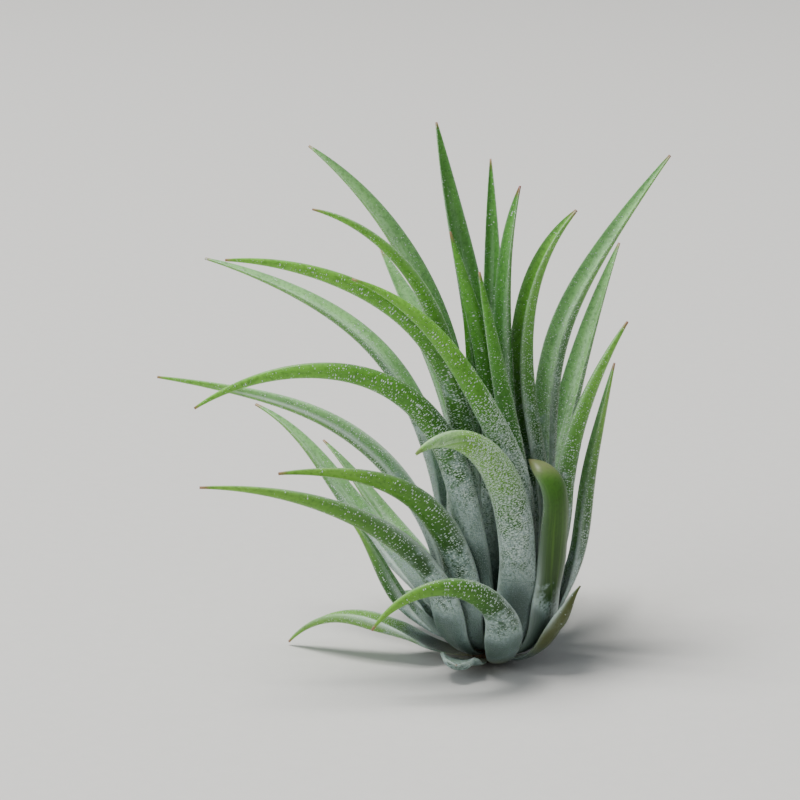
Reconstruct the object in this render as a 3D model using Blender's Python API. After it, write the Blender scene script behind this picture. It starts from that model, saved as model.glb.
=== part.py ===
"""A tillandsia ionantha: a small air plant as picked, resting on a surface.

Pointed, channelled leaves wrap a short cone of stem with their sheaths, ring outside ring, which
makes the bulb. Their blades rise out of it, and most of them sweep over to the plant's left.

Frame: +Z up. The front faces -Y and the plant's left is -X. The origin is the middle of the
stem's flat underside, on the surface that the plant rests on. Lengths are in metres, except in
the leaves' own rows, which are in millimetres and degrees.
"""

import math
from dataclasses import dataclass

import bmesh
import bpy
import numpy as np

MM = 0.001
PLANT_NAME = "tillandsia_ionantha"

# The stem, a short woody cone
STEM_HEIGHT = 10.6 * MM
STEM_FOOT_RADIUS = 3.2 * MM
STEM_TOP_RADIUS = 1.6 * MM
STEM_SIDES = 24

# The sheaths stand in rings, counted from the heart outward
FIRST_RING_RADIUS = 3.0 * MM
RING_PITCH = 0.94 * MM
FIRST_ROOT_HEIGHT = 9.8 * MM
ROOT_DROP = 1.0 * MM
LOWEST_ROOT = 0.75 * MM
ROOT_GAP = 0.35 * MM
FIRST_ROOT_RISE = 62.0
ROOT_RISE_DROP = 7.5
LOWEST_ROOT_RISE = 8.0
LEAST_SHEATH_BEND = 4.0

# The section of a leaf is an arc with a thick middle and thin edges
SHEATH_WIDENING = 1.3
SHEATH_THICKNESS = 0.62 * MM
BLADE_THICKNESS_SHARE = 0.28
TIP_THINNING = 0.78
EDGE_THINNING = 0.62
EDGE_POWER = 2.2
TIP_NARROWING = 0.96
PLAIN_CURL = 50.0

# Shares of the blade over which the sheath's form gives way to the blade's
TURN_TO_BLADE = 0.15
NARROW_TO_BLADE = 0.28
THICKEN_TO_BLADE = 0.35
CURL_TO_BLADE = 0.40

# Shares of the blade between which a leaf's own curl takes over from the plain one
OWN_CURL_FROM = 0.15
OWN_CURL_TO = 0.60

# How finely a leaf is divided
RISE_KNOTS = (0.0, 0.35, 0.7, 1.0)
FINE_STEPS = 320
SHEATH_STATIONS = 4
BLADE_STATIONS = 10
POINTS_ACROSS = 5
TIP_CROWDING = 0.95


@dataclass(frozen=True)
class Leaf:
    """One leaf, from its root on the stem to its tip.

    ring: the ring that its sheath belongs to, 1 at the heart.
    azimuth: where its sheath stands round the stem, 0 at +X and 90 at +Y.
    sweep: how far the blade's heading has turned from there at its tip.
    rises: the blade's slope above the horizontal at its shoulder, its two knots and its tip.
    length, width: of the blade past its shoulder, the width along the curve of its section.
    fullness: 1 tapers evenly to the tip, and a higher value keeps the width for longer.
    curl: half the angle of the blade's section, where 0 is flat and 90 is a half pipe.
    """

    name: str
    ring: int
    azimuth: float
    sweep: float
    rises: tuple
    length: float
    width: float
    fullness: float
    curl: float


# name, ring, azimuth, sweep, rises, length, width, fullness, curl
LEAVES = (
    Leaf("heart_leaf_1", 1, 322, 0, (94, 91, 89, 88), 30, 2.2, 3, 50),
    Leaf("heart_leaf_2", 1, 195, -5, (92, 88, 85, 82), 50, 3.0, 3, 50),
    Leaf("upright_leaf_1", 2, 262, -67, (94, 90, 75, 74), 57, 3.8, 4, 50),
    Leaf("upright_leaf_2", 2, 28, -10, (92, 94, 89, 77), 62, 4.4, 8, 50),
    Leaf("upright_leaf_3", 2, 122, 58, (94, 88, 78, 81), 72, 4.8, 5, 50),
    Leaf("upright_leaf_4", 3, 88, 8, (88, 86, 80, 78), 65, 4.0, 4, 50),
    Leaf("upright_leaf_5", 3, 330, -152, (85, 79, 79, 76), 51.5, 4.6, 4, 50),
    Leaf("right_leaf_1", 4, 20, -18, (72, 99, 82, 51), 62.5, 6.0, 7, 76),
    Leaf("left_leaf_1", 4, 243, -58, (78, 82, 30.5, 3), 77.2, 4.2, 5, 84),
    Leaf("left_leaf_2", 4, 142, 33, (92, 82, 59, 38), 75, 5.0, 5, 50),
    Leaf("back_leaf_1", 4, 84, -7, (84, 82, 76, 70), 46, 3.5, 4, 50),
    Leaf("left_leaf_3", 5, 192, -6, (91, 89, 58, 18), 69.5, 4.5, 7, 89),
    Leaf("left_leaf_4", 5, 105, 30, (83, 70, 52, 50), 56, 5.4, 4, 50),
    Leaf("right_leaf_2", 5, 39, -40, (72, 88, 61, 54.5), 74, 5.0, 4, 75),
    Leaf("left_leaf_5", 6, 310, -127, (97, 67, 54, 19), 63, 4.6, 3, 50),
    Leaf("left_leaf_6", 6, 247, -67, (84, 68, 4, -33), 71, 4.8, 3, 70),
    Leaf("left_leaf_7", 6, 155, 9, (91, 68, 28, 13), 71, 5.0, 4, 50),
    Leaf("right_leaf_3", 6, 48, -23, (66, 76, 72, 68), 57.5, 4.8, 4, 55),
    Leaf("back_leaf_2", 6, 102, -12, (74, 62, 50, 40), 48, 4.6, 3, 50),
    Leaf("right_leaf_4", 7, 352, 1, (80, 83.5, 69.5, 63), 47.3, 5.7, 4, 74),
    Leaf("left_leaf_8", 7, 200, -26, (89, 51, 15, 8), 63, 5.4, 2.8, 75),
    Leaf("left_leaf_9", 7, 145, 7, (30, 43, 45, 20), 47, 6.0, 2, 50),
    Leaf("back_leaf_3", 7, 53, 16, (66, 58, 44, 28), 44, 5.0, 2, 50),
    Leaf("back_leaf_4", 7, 97, 4, (64, 50, 30, 8), 44, 4.6, 2, 50),
    Leaf("front_leaf_1", 8, 293, -86, (85, 78, 43, -32), 42.7, 6.0, 4, 50),
    Leaf("front_leaf_2", 8, 236, -49, (93, 58, 14, -2), 43.5, 6.0, 1.8, 60),
    Leaf("right_leaf_5", 8, 6, 2, (58, 83, 78, 80), 42, 4.8, 4, 50),
    Leaf("left_leaf_10", 8, 124, 18, (30, 36, 42, 34), 38, 5.0, 2, 50),
    Leaf("left_leaf_11", 8, 182, -10, (30, 58, 60, 46), 24, 5.2, 2, 50),
    Leaf("back_leaf_5", 8, 44, 39, (50, 40, 24, 8), 34, 4.4, 3, 50),
    Leaf("back_leaf_6", 8, 83, 2, (52, 36, 16, -4), 40, 5.0, 1.8, 50),
    Leaf("left_leaf_12", 9, 226, -38, (78, 40, 16, 3), 50, 5.5, 2, 65),
    Leaf("right_leaf_6", 9, 322, 6, (83, 85, 94, 185), 28, 6.0, 16, 50),
    Leaf("right_leaf_7", 10, 320, 38, (60, 62, 62, 58), 9.7, 4.0, 1.6, 35),
    Leaf("back_leaf_7", 9, 139, -7, (28, 14, -8, -20), 12.5, 5.0, 1.8, 50),
    Leaf("back_leaf_8", 9, 62, 20, (38, 28, 14, 0), 26, 5.0, 1.8, 50),
    Leaf("back_leaf_9", 9, 100, 4, (26, 16, 0, -20), 30, 5.0, 1.8, 50),
    Leaf("front_leaf_3", 10, 277, -92, (66, 38, -20, -54), 31, 4.7, 1.8, 50),
    Leaf("left_leaf_13", 10, 186, -30, (26, 13, -27, -49), 25, 5.8, 1.8, 22),
    Leaf("front_leaf_4", 10, 242, 24, (24, 12, 0, -8), 3.4, 5.6, 2, 15),
    Leaf("back_leaf_10", 10, 84, 2, (16, 4, -16, -36), 26, 5.0, 1.6, 50),
)

# Linear base colours, for leaves that start in the rings up to the one named
LEAF_COLOURS = (
    (3, (0.10, 0.27, 0.05)),
    (6, (0.13, 0.30, 0.07)),
    (8, (0.17, 0.33, 0.11)),
    (10, (0.24, 0.36, 0.18)),
)
LEAF_ROUGHNESS = 0.55
STEM_COLOUR = (0.16, 0.09, 0.045)
STEM_ROUGHNESS = 0.9


def smooth_step(share):
    """Eases from 0 to 1 while share goes from 0 to 1."""
    share = np.clip(share, 0, 1)
    return share * share * (3 - 2 * share)


def curve_through(knots, values, at):
    """Smooth curve through values at the knots, read at each point of at."""
    knots = np.array(knots, float)
    values = np.array(values, float)
    steps = np.diff(knots)
    rates = np.diff(values) / steps
    inner = (rates[:-1] * steps[1:] + rates[1:] * steps[:-1]) / (steps[:-1] + steps[1:])
    slopes = np.concatenate([rates[:1], inner, rates[-1:]])
    span = np.clip(np.searchsorted(knots, at, side="right") - 1, 0, len(steps) - 1)
    step = steps[span]
    t = (at - knots[span]) / step
    from_start = (2 * t**3 - 3 * t**2 + 1) * values[span] + (t**3 - 2 * t**2 + t) * step * slopes[span]
    from_end = (3 * t**2 - 2 * t**3) * values[span + 1] + (t**3 - t**2) * step * slopes[span + 1]
    return from_start + from_end


def unit(vectors):
    """Scales each row to length 1."""
    return vectors / np.linalg.norm(vectors, axis=-1, keepdims=True)


def ring_radius(ring):
    """Radius at which the sheaths of a ring have their shoulders."""
    return FIRST_RING_RADIUS + RING_PITCH * (ring - 1)


def stem_radius(height):
    """Radius of the stem's cone at a height."""
    return STEM_FOOT_RADIUS + (STEM_TOP_RADIUS - STEM_FOOT_RADIUS) * height / STEM_HEIGHT


class Midline:
    """The middle line of a leaf's inner face: points, headings and the direction across it."""

    def __init__(self, leaf):
        root_height = max(LOWEST_ROOT, FIRST_ROOT_HEIGHT - ROOT_DROP * (leaf.ring - 1))
        root_radius = stem_radius(root_height) + ROOT_GAP
        root_rise = max(LOWEST_ROOT_RISE, FIRST_ROOT_RISE - ROOT_RISE_DROP * (leaf.ring - 1))
        root_rise = math.radians(min(root_rise, leaf.rises[0] - LEAST_SHEATH_BEND))
        shoulder_rise = math.radians(min(leaf.rises[0], 90))

        # The sheath is an arc that swells from the stem out to its ring
        bend = (shoulder_rise - root_rise) / (math.sin(shoulder_rise) - math.sin(root_rise))
        self.sheath = (ring_radius(leaf.ring) - root_radius) * bend
        self.total = self.sheath + leaf.length * MM
        self.run = np.linspace(0, self.total, FINE_STEPS + 1)
        self.blade = self.blade_share(self.run)

        in_sheath = root_rise + (shoulder_rise - root_rise) * self.run / self.sheath
        in_blade = np.radians(curve_through(RISE_KNOTS, leaf.rises, self.blade))
        rise = np.where(self.run < self.sheath, in_sheath, in_blade)
        heading = np.radians(leaf.azimuth + leaf.sweep * (1 - (1 - self.blade) ** 3))
        flat = np.cos(rise)
        self.along = np.stack([flat * np.cos(heading), flat * np.sin(heading), np.sin(rise)], 1)

        azimuth = math.radians(leaf.azimuth)
        self.outward = np.array([math.cos(azimuth), math.sin(azimuth), 0])
        root = self.outward * root_radius + np.array([0, 0, root_height])
        steps = 0.5 * (self.along[1:] + self.along[:-1]) * self.total / FINE_STEPS
        self.points = root + np.concatenate([np.zeros((1, 3)), np.cumsum(steps, 0)])
        self.across = self.untwisted_across(azimuth)

    def blade_share(self, run):
        """0 all along the sheath, and from 0 to 1 along the blade."""
        return np.clip((run - self.sheath) / (self.total - self.sheath), 0, 1)

    def untwisted_across(self, azimuth):
        """Carries the direction across the leaf along it without twisting."""
        across = np.empty_like(self.along)
        across[0] = (-math.sin(azimuth), math.cos(azimuth), 0)
        for i in range(1, len(across)):
            before = across[i - 1]
            across[i] = unit(before - self.along[i] * (before @ self.along[i]))
        return across

    def at(self, stations, values):
        """Reads values, given for each fine step, at the stations."""
        columns = values.reshape(len(values), -1).T
        read = np.stack([np.interp(stations, self.run, column) for column in columns], -1)
        return read if values.ndim > 1 else read[:, 0]


def section_sizes(leaf, midline):
    """Width along the arc, half the arc's angle, and thickness, at each fine step."""
    blade = midline.blade
    sheath_width = SHEATH_WIDENING * leaf.width * MM
    sheath_half_angle = 0.5 * sheath_width / ring_radius(leaf.ring)
    width = sheath_width + (leaf.width * MM - sheath_width) * smooth_step(blade / NARROW_TO_BLADE)
    width = width * (1 - TIP_NARROWING * blade**leaf.fullness)
    from_axis = np.hypot(midline.points[:, 0], midline.points[:, 1])
    width = np.where(midline.run < midline.sheath, 2 * sheath_half_angle * from_axis, width)
    curled = smooth_step(blade / CURL_TO_BLADE)
    half_angle = sheath_half_angle + (math.radians(PLAIN_CURL) - sheath_half_angle) * curled
    own_curl = smooth_step((blade - OWN_CURL_FROM) / (OWN_CURL_TO - OWN_CURL_FROM))
    half_angle = half_angle + math.radians(leaf.curl - PLAIN_CURL) * own_curl
    blade_thickness = BLADE_THICKNESS_SHARE * leaf.width * MM
    thickness = SHEATH_THICKNESS + (blade_thickness - SHEATH_THICKNESS) * smooth_step(
        blade / THICKEN_TO_BLADE)
    past_thickest = (blade - THICKEN_TO_BLADE) / (1 - THICKEN_TO_BLADE)
    thickness = thickness * (1 - TIP_THINNING * smooth_step(past_thickest))
    return width, half_angle, thickness


def leaf_sections(leaf):
    """Rings of points round the leaf from root to tip, each once round its section."""
    midline = Midline(leaf)
    width, half_angle, thickness = section_sizes(leaf, midline)
    in_sheath = np.linspace(0, midline.sheath, SHEATH_STATIONS + 1)
    shares = np.linspace(0, 1, BLADE_STATIONS + 1)[1:] ** TIP_CROWDING
    stations = np.concatenate([in_sheath, midline.sheath + leaf.length * MM * shares])

    points = midline.at(stations, midline.points)
    along = unit(midline.at(stations, midline.along))
    across = midline.at(stations, midline.across)
    across = unit(across - along * np.sum(across * along, 1, keepdims=True))
    upper = np.cross(along, across)
    turned = smooth_step(midline.blade_share(stations) / TURN_TO_BLADE)[:, None]
    upper = unit(upper * turned - midline.outward * (1 - turned))

    place = np.linspace(-1, 1, POINTS_ACROSS)
    width = midline.at(stations, width)[:, None]
    half_angle = midline.at(stations, half_angle)[:, None]
    thickness = midline.at(stations, thickness)[:, None]
    radius = width / (2 * half_angle)
    angle = half_angle * place
    aside = (radius * np.sin(angle))[..., None] * across[:, None]
    lifted = (radius * (1 - np.cos(angle)))[..., None] * upper[:, None]
    inner = points[:, None] + aside + lifted
    tangent = np.cos(angle)[..., None] * across[:, None] + np.sin(angle)[..., None] * upper[:, None]
    outer_normal = unit(np.cross(tangent, along[:, None]))
    depth = thickness * (1 - EDGE_THINNING * np.abs(place) ** EDGE_POWER)
    outer = inner + outer_normal * depth[..., None]
    rings = np.concatenate([inner, outer[:, ::-1]], 1)
    rings[..., 2] = np.maximum(rings[..., 2], 0)
    return rings


def leaf_mesh(leaf):
    """Closed loft through the leaf's sections, flat at its root and pointed at its tip."""
    rings = leaf_sections(leaf)
    shell = bmesh.new()
    rows = [[shell.verts.new(point) for point in ring] for ring in rings[:-1]]
    tip = shell.verts.new(rings[-1].mean(0))
    around = len(rows[0])
    shell.faces.new(rows[0])
    for lower, higher in zip(rows, rows[1:]):
        for i in range(around):
            j = (i + 1) % around
            shell.faces.new((lower[i], lower[j], higher[j], higher[i]))
    for i in range(around):
        shell.faces.new((rows[-1][i], rows[-1][(i + 1) % around], tip))
    bmesh.ops.triangulate(shell, faces=shell.faces[:])
    bmesh.ops.recalc_face_normals(shell, faces=shell.faces[:])
    mesh = bpy.data.meshes.new(leaf.name)
    shell.to_mesh(mesh)
    shell.free()
    return mesh


def stem_mesh():
    """The short cone that carries the leaves, flat underneath."""
    cone = bmesh.new()
    bmesh.ops.create_cone(cone, cap_ends=True, segments=STEM_SIDES, radius1=STEM_FOOT_RADIUS,
                          radius2=STEM_TOP_RADIUS, depth=STEM_HEIGHT)
    bmesh.ops.translate(cone, verts=cone.verts[:], vec=(0, 0, STEM_HEIGHT / 2))
    mesh = bpy.data.meshes.new("stem")
    cone.to_mesh(mesh)
    cone.free()
    return mesh


def plain_material(name, colour, roughness):
    """Principled material of one colour."""
    material = bpy.data.materials.new(name)
    material.use_nodes = True
    shader = material.node_tree.nodes["Principled BSDF"]
    shader.inputs["Base Color"].default_value = (*colour, 1)
    shader.inputs["Roughness"].default_value = roughness
    shader.inputs["Metallic"].default_value = 0
    return material


def add_piece(collection, name, mesh, material):
    """Puts one named piece of the plant in its collection, shaded smooth."""
    piece = bpy.data.objects.new(name, mesh)
    mesh.materials.append(material)
    mesh.shade_smooth()
    collection.objects.link(piece)


def leaf_colour(leaf):
    """Greener at the heart, paler and greyer in the outer rings."""
    return next(colour for last_ring, colour in LEAF_COLOURS if leaf.ring <= last_ring)


def main():
    """Builds the plant in an empty scene."""
    for found in list(bpy.data.objects):
        bpy.data.objects.remove(found, do_unlink=True)
    plant = bpy.data.collections.new(PLANT_NAME)
    bpy.context.scene.collection.children.link(plant)
    add_piece(plant, "stem", stem_mesh(), plain_material("stem", STEM_COLOUR, STEM_ROUGHNESS))
    for leaf in LEAVES:
        green = plain_material(leaf.name, leaf_colour(leaf), LEAF_ROUGHNESS)
        add_piece(plant, leaf.name, leaf_mesh(leaf), green)


main()
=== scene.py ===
"""The looks of a tillandsia ionantha, a small air plant that rests on a pale floor.

Every leaf is rebuilt as a fine skin in the place of its plain solid: a flat blank is rolled into
the leaf's closed form. Its silvery scales stand on it as small solids, and finer ones are in the
leaf's material.

Frame: metres, +Z up. The front faces -Y and the plant's left is -X. The origin is the middle of
the stem's flat underside. Leaves' own rows are in millimetres and degrees.
"""

import logging
import math
from dataclasses import dataclass, field
from enum import Enum

import bmesh
import bpy
import numpy as np
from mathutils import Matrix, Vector


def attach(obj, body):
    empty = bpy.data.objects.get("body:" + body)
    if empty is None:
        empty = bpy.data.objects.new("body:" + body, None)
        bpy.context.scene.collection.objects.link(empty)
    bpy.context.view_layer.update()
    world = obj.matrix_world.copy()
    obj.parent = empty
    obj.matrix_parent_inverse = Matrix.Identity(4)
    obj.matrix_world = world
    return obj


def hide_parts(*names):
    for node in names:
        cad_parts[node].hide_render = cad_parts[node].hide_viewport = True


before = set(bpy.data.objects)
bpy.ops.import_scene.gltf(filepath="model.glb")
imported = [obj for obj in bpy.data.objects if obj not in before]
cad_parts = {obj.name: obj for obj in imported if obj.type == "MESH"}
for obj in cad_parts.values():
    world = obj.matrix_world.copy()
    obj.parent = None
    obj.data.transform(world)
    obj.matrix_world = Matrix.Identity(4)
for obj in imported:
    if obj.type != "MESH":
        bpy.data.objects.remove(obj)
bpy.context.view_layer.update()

MM = 0.001
BODY = "root"
SEED = 7
SCALE_SHARE = 1.0
LAST_YOUNG_RING = 3
LAST_GROWN_RING = 7
MERGE_DISTANCE = 0.01 * MM

Array = np.ndarray
Colour = tuple[float, float, float]
Socket = bpy.types.NodeSocket
log = logging.getLogger("plant")


class Slot(Enum):
    """The leaves' material slots in the record."""

    YOUNG = "young_leaf"
    GROWN = "grown_leaf"
    OUTER = "outer_leaf"


class Look(Enum):
    """What marks a leaf out from its neighbours.

    Sunlit leaves are painted lighter, in a fresher green that stands in for the light on them, and a
    frosted one keeps more scales past its shoulder.
    An edged one shows a paler band with a fine light line along its near margin.
    """

    PLAIN = "plain"
    SUNLIT = "sunlit"
    PALE_END = "pale end"
    BROWN_TOP = "brown top"
    WITHERED = "withered"
    RED_TIP = "red tip"
    GREEN_INSIDE = "green inside"
    FROSTED = "frosted"
    EDGED = "edged"
    PALE = "pale"


@dataclass(frozen=True)
class Leaf:
    """One leaf's design, from its root on the stem to its tip.

    ring: the ring that its sheath belongs to, 1 at the heart.
    azimuth: where its sheath stands round the stem, 0 at +X and 90 at +Y.
    sweep: how far the blade's heading has turned from there at its tip.
    rises: the blade's slope above the horizontal at its shoulder, its two knots and its tip.
    length, width: of the blade past its shoulder, the width along the curve of its section.
    fullness: 1 tapers evenly to the tip, and a higher value keeps the width for longer.
    curl: half the angle of the blade's section, where 0 is flat and 90 is a half pipe.
    look: what marks it out.
    """

    name: str
    ring: int
    azimuth: float
    sweep: float
    rises: tuple[float, float, float, float]
    length: float
    width: float
    fullness: float
    curl: float
    look: Look = Look.PLAIN

    def slot(self) -> Slot:
        """The finish that the leaf takes, by how far out it stands."""
        if self.ring <= LAST_YOUNG_RING:
            return Slot.YOUNG
        return Slot.GROWN if self.ring <= LAST_GROWN_RING else Slot.OUTER


# name, ring, azimuth, sweep, rises, length, width, fullness, curl, look
LEAVES = (
    Leaf("heart_leaf_1", 1, 322, 0, (94, 91, 89, 88), 30, 2.2, 3, 50),
    Leaf("heart_leaf_2", 1, 195, -5, (92, 88, 85, 82), 50, 3.0, 3, 50),
    Leaf("upright_leaf_1", 2, 262, -67, (94, 90, 75, 74), 57, 3.8, 4, 50),
    Leaf("upright_leaf_2", 2, 28, -10, (92, 94, 89, 77), 62, 4.4, 8, 50, Look.RED_TIP),
    Leaf("upright_leaf_3", 2, 122, 58, (94, 88, 78, 81), 72, 4.8, 5, 50),
    Leaf("upright_leaf_4", 3, 88, 8, (88, 86, 80, 78), 65, 4.0, 4, 50),
    Leaf("upright_leaf_5", 3, 330, -152, (85, 79, 79, 76), 51.5, 4.6, 4, 50),
    Leaf("right_leaf_1", 4, 20, -18, (72, 99, 82, 51), 62.5, 6.0, 7, 76, Look.GREEN_INSIDE),
    Leaf("left_leaf_1", 4, 243, -58, (78, 82, 30.5, 3), 77.2, 4.2, 5, 84, Look.SUNLIT),
    Leaf("left_leaf_2", 4, 142, 33, (92, 82, 59, 38), 75, 5.0, 5, 50, Look.SUNLIT),
    Leaf("back_leaf_1", 4, 84, -7, (84, 82, 76, 70), 46, 3.5, 4, 50),
    Leaf("left_leaf_3", 5, 192, -6, (91, 89, 58, 18), 69.5, 4.5, 7, 89, Look.SUNLIT),
    Leaf("left_leaf_4", 5, 105, 30, (83, 70, 52, 50), 56, 5.4, 4, 50),
    Leaf("right_leaf_2", 5, 39, -40, (72, 88, 61, 54.5), 74, 5.0, 4, 75),
    Leaf("left_leaf_5", 6, 310, -127, (97, 67, 54, 19), 63, 4.6, 3, 50, Look.FROSTED),
    Leaf("left_leaf_6", 6, 247, -67, (84, 68, 4, -33), 71, 4.8, 3, 70, Look.SUNLIT),
    Leaf("left_leaf_7", 6, 155, 9, (91, 68, 28, 13), 71, 5.0, 4, 50),
    Leaf("right_leaf_3", 6, 48, -23, (66, 76, 72, 68), 57.5, 4.8, 4, 55),
    Leaf("back_leaf_2", 6, 102, -12, (74, 62, 50, 40), 48, 4.6, 3, 50),
    Leaf("right_leaf_4", 7, 352, 1, (80, 83.5, 69.5, 63), 47.3, 5.7, 4, 74, Look.GREEN_INSIDE),
    Leaf("left_leaf_8", 7, 200, -26, (89, 51, 15, 8), 63, 5.4, 2.8, 75, Look.EDGED),
    Leaf("left_leaf_9", 7, 145, 7, (30, 43, 45, 20), 47, 6.0, 2, 50),
    Leaf("back_leaf_3", 7, 53, 16, (66, 58, 44, 28), 44, 5.0, 2, 50),
    Leaf("back_leaf_4", 7, 97, 4, (64, 50, 30, 8), 44, 4.6, 2, 50),
    Leaf("front_leaf_1", 8, 293, -86, (85, 78, 43, -32), 42.7, 6.0, 4, 50, Look.PALE_END),
    Leaf("front_leaf_2", 8, 236, -49, (93, 58, 14, -2), 43.5, 6.0, 1.8, 60, Look.SUNLIT),
    Leaf("right_leaf_5", 8, 6, 2, (58, 83, 78, 80), 42, 4.8, 4, 50),
    Leaf("left_leaf_10", 8, 124, 18, (30, 36, 42, 34), 38, 5.0, 2, 50),
    Leaf("left_leaf_11", 8, 182, -10, (30, 58, 60, 46), 24, 5.2, 2, 50),
    Leaf("back_leaf_5", 8, 44, 39, (50, 40, 24, 8), 34, 4.4, 3, 50),
    Leaf("back_leaf_6", 8, 83, 2, (52, 36, 16, -4), 40, 5.0, 1.8, 50),
    Leaf("left_leaf_12", 9, 226, -38, (78, 40, 16, 3), 50, 5.5, 2, 65, Look.SUNLIT),
    Leaf("right_leaf_6", 9, 322, 6, (83, 85, 94, 185), 28, 6.0, 16, 50, Look.BROWN_TOP),
    Leaf("right_leaf_7", 10, 320, 38, (60, 62, 62, 58), 9.7, 4.0, 1.6, 35, Look.WITHERED),
    Leaf("back_leaf_7", 9, 139, -7, (28, 14, -8, -20), 12.5, 5.0, 1.8, 50),
    Leaf("back_leaf_8", 9, 62, 20, (38, 28, 14, 0), 26, 5.0, 1.8, 50),
    Leaf("back_leaf_9", 9, 100, 4, (26, 16, 0, -20), 30, 5.0, 1.8, 50),
    Leaf("front_leaf_3", 10, 277, -92, (66, 38, -20, -54), 31, 4.7, 1.8, 50, Look.SUNLIT),
    Leaf("left_leaf_13", 10, 186, -30, (26, 13, -27, -49), 25, 5.8, 1.8, 22, Look.PALE),
    Leaf("front_leaf_4", 10, 242, 24, (24, 12, 0, -8), 3.4, 5.6, 2, 15),
    Leaf("back_leaf_10", 10, 84, 2, (16, 4, -16, -36), 26, 5.0, 1.6, 50),
)


def smooth_step(share: Array) -> Array:
    """Eases from 0 to 1 while share goes from 0 to 1."""
    share = np.clip(share, 0, 1)
    return share * share * (3 - 2 * share)


def rising(share: Array, start: float, length: float) -> Array:
    """0 up to start and 1 from start + length on."""
    return smooth_step((share - start) / length)


def falling(share: Array, end: float, length: float) -> Array:
    """1 up to end - length and 0 from end on."""
    return smooth_step((end - share) / length)


def unit(vectors: Array) -> Array:
    """Scales each row to length 1."""
    return vectors / np.linalg.norm(vectors, axis=-1, keepdims=True)


def curve_through(knots: tuple, values: tuple, at: Array) -> Array:
    """Reads a smooth curve through values at the knots.

    Args:
        knots: where the values stand, rising.
        values: one value for each knot.
        at: where the curve is read.

    Returns:
        The curve's value at each point of at.
    """
    knots = np.array(knots, float)
    values = np.array(values, float)
    steps = np.diff(knots)
    rates = np.diff(values) / steps
    inner = (rates[:-1] * steps[1:] + rates[1:] * steps[:-1]) / (steps[:-1] + steps[1:])
    slopes = np.concatenate([rates[:1], inner, rates[-1:]])
    span = np.clip(np.searchsorted(knots, at, side="right") - 1, 0, len(steps) - 1)
    step = steps[span]
    t = (at - knots[span]) / step
    start = (2 * t**3 - 3 * t**2 + 1) * values[span] + (t**3 - 2 * t**2 + t) * step * slopes[span]
    end = (3 * t**2 - 2 * t**3) * values[span + 1] + (t**3 - t**2) * step * slopes[span + 1]
    return start + end


def lit_share(normal: Array) -> Array:
    """How thickly an outer leaf's skin is scaled: 1 where it sees the sky, and less underneath, where the
    fewer silver specks and scales are painted shade.
    """
    underneath = 0.35
    return underneath + (1 - underneath) * rising(normal[:, 2], -0.5, 0.5)


def finished(work: bmesh.types.BMesh, name: str) -> bpy.types.Mesh:
    """Turns a worked mesh into a plain one."""
    mesh = bpy.data.meshes.new(name)
    work.to_mesh(mesh)
    work.free()
    return mesh


def put_in_scene(name: str, data: bpy.types.ID) -> bpy.types.Object:
    """Makes an object of a mesh, a light or a camera, and links it to the scene."""
    piece = bpy.data.objects.new(name, data)
    bpy.context.scene.collection.objects.link(piece)
    return piece


def ripple(points: Array, wavelength: float, seed: int) -> Array:
    """Smooth seeded noise from a few crossing waves.

    Args:
        points: rows of coordinates, in metres.
        wavelength: the size of its patches, in metres.
        seed: picks the waves.

    Returns:
        A value for each point, from about -1 to 1.
    """
    random = np.random.default_rng(seed)
    total = np.zeros(len(points))
    for _ in range(6):
        direction = unit(random.normal(size=3))
        pace = 2 * math.pi / wavelength * random.uniform(0.7, 1.6)
        total += np.sin(points @ direction * pace + random.uniform(0, 2 * math.pi))
    return total / 3


@dataclass(frozen=True)
class Bulb:
    """Sizes that all leaves share: the stem's cone, the rings of sheaths and the leaf's section."""

    stem_height: float = 10.6 * MM
    stem_foot_radius: float = 3.2 * MM
    stem_top_radius: float = 1.6 * MM
    first_ring_radius: float = 3.0 * MM
    ring_pitch: float = 0.94 * MM
    first_root_height: float = 9.8 * MM
    root_drop: float = 1.0 * MM
    lowest_root: float = 0.75 * MM
    root_gap: float = 0.35 * MM
    first_root_rise: float = 62.0
    root_rise_drop: float = 7.5
    lowest_root_rise: float = 8.0
    least_sheath_bend: float = 4.0
    sheath_widening: float = 1.3
    sheath_thickness: float = 0.62 * MM
    blade_thickness_share: float = 0.28
    tip_thinning: float = 0.78
    edge_thinning: float = 0.62
    edge_power: float = 2.2
    tip_narrowing: float = 0.96
    plain_curl: float = 50.0
    turn_to_blade: float = 0.15
    narrow_to_blade: float = 0.28
    thicken_to_blade: float = 0.35
    curl_to_blade: float = 0.40
    own_curl_from: float = 0.15
    own_curl_to: float = 0.60
    rise_knots: tuple[float, ...] = (0.0, 0.35, 0.7, 1.0)

    def ring_radius(self, ring: int) -> float:
        """Radius at which the sheaths of a ring have their shoulders."""
        return self.first_ring_radius + self.ring_pitch * (ring - 1)

    def stem_radius(self, height: float) -> float:
        """Radius of the stem's cone at a height."""
        taper = (self.stem_top_radius - self.stem_foot_radius) / self.stem_height
        return self.stem_foot_radius + taper * height


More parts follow.
